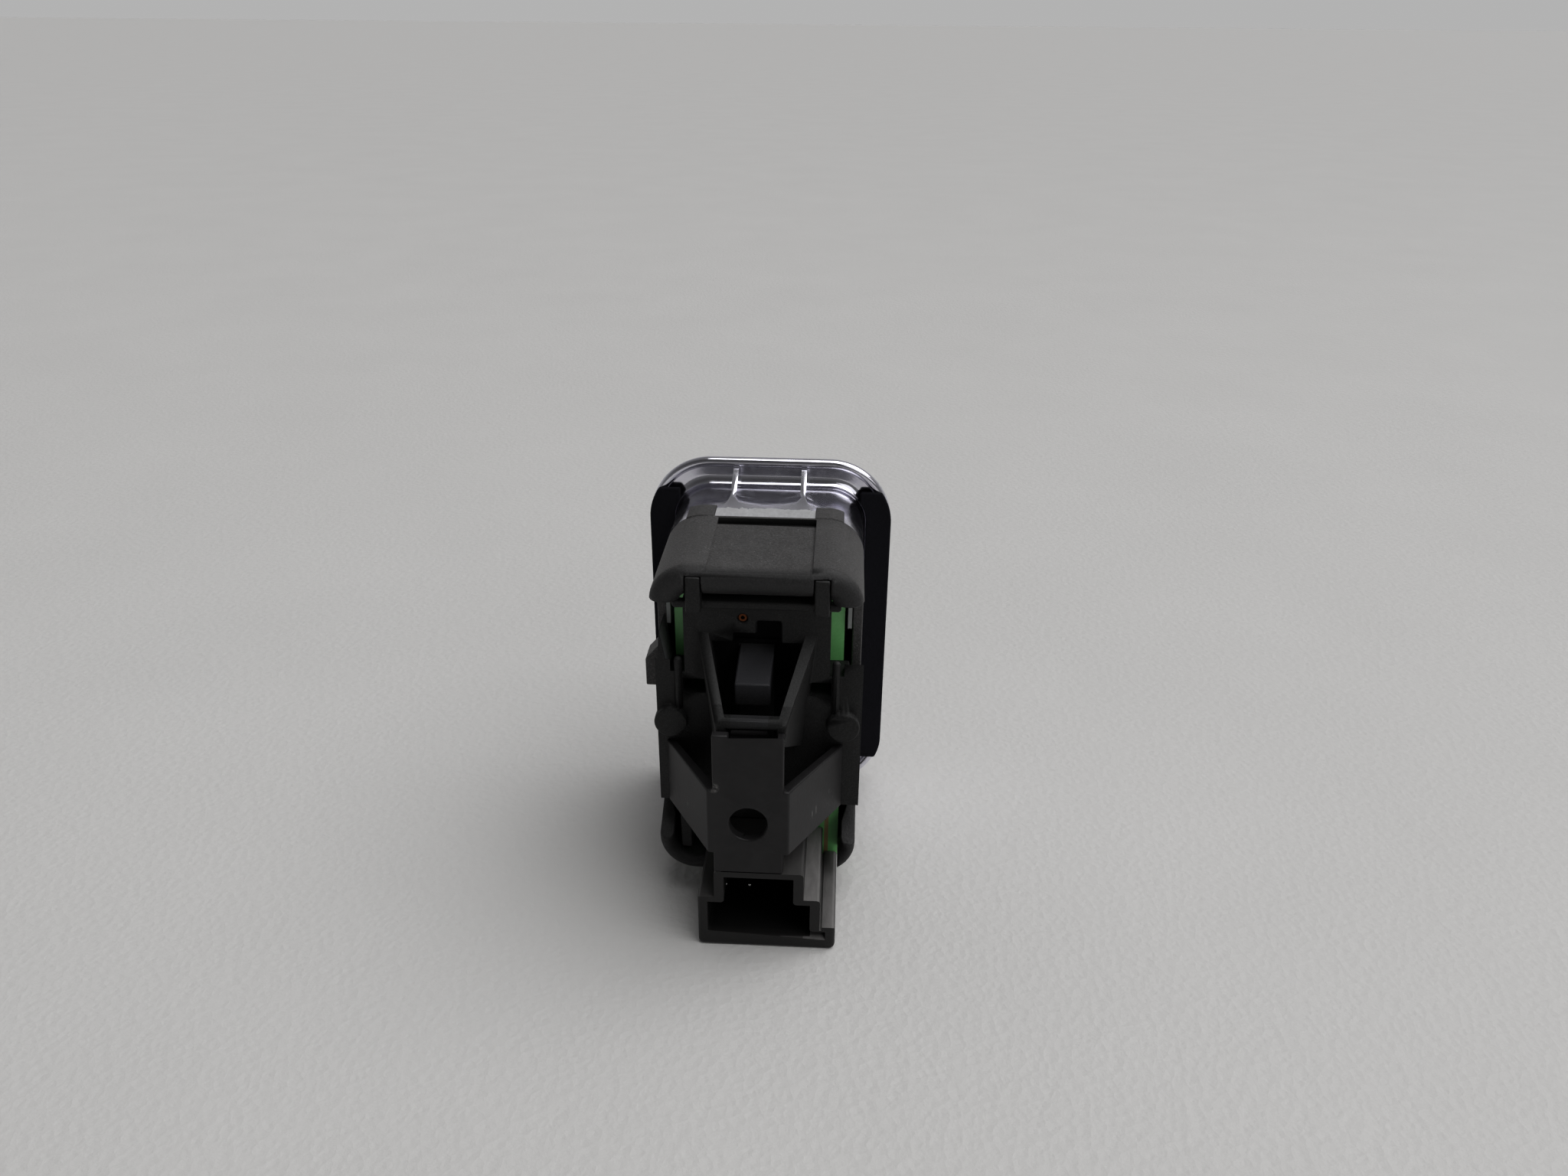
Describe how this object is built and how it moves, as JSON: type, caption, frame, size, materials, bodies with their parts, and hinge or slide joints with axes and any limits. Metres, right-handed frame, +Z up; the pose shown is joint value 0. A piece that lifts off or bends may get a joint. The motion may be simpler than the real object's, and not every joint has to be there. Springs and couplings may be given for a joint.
{
  "type": "seat switch",
  "caption": "Two-way rocker switch for a seat, with a chrome bezel, a hooded clip-in housing, a rear fixing bracket and a keyed cable socket.",
  "frame": {"origin": "centre of the panel cut-out, in the plane of the bezel's rolled lip", "axes": "+X across the switch, +Y towards its front, +Z up along its height"},
  "size_m": [0.027, 0.0319, 0.0424],
  "materials": {
    "chrome": "bright plated",
    "felt": "matt felt",
    "housing_plastic": "fine spark-eroded grain",
    "steel": "ground",
    "tact_case": "moulded",
    "tact_button": "moulded",
    "board": "solder resist",
    "lamp": "clear lens",
    "resistor": "glazed",
    "copper": "plated pad",
    "clear_plastic": "milky translucent",
    "cover_plastic": "fine grain",
    "bracket_plastic": "satin",
    "tin": "tin plated",
    "rocker_plastic": "soft-touch",
    "white_plastic": "moulded"
  },
  "bodies": {
    "switch": {"bezel": "chrome", "felt_strip_left": "felt", "felt_strip_right": "felt", "front_housing": "housing_plastic", "pivot_pin": "steel", "tact_switch_upper": "tact_case", "tact_switch_lower": "tact_case", "circuit_board": "board", "led_left": "lamp", "led_right": "lamp", "resistors": "resistor", "test_contact": "copper", "light_guide": "clear_plastic", "rear_cover": "cover_plastic", "mounting_bracket": "bracket_plastic", "connector_shroud": "cover_plastic", "terminal_1": "tin", "terminal_2": "tin"},
    "rocker": {"rocker": "rocker_plastic", "rocker_window": "clear_plastic"},
    "upper_plunger": {"plunger_upper": "white_plastic", "tact_button_upper": "tact_button"},
    "lower_plunger": {"plunger_lower": "white_plastic", "tact_button_lower": "tact_button"}
  },
  "joints": [
    {"name": "rocker_tilt", "type": "hinge", "parent": "switch", "child": "rocker", "pos_m": [0, -0.003, 0], "axis": [1, 0, 0], "range_deg": [-5, 5], "stiffness_Nm_per_rad": 0.4},
    {"name": "upper_press", "type": "slide", "parent": "switch", "child": "upper_plunger", "axis": [0, -1, 0], "range_m": [-0.0009, 0.0009]},
    {"name": "lower_press", "type": "slide", "parent": "switch", "child": "lower_plunger", "axis": [0, -1, 0], "range_m": [-0.0009, 0.0009]}
  ],
  "couplings": [
    {"joint": "upper_press", "follows": "rocker_tilt", "m_per_rad": 0.009},
    {"joint": "lower_press", "follows": "rocker_tilt", "m_per_rad": -0.009}
  ]
}
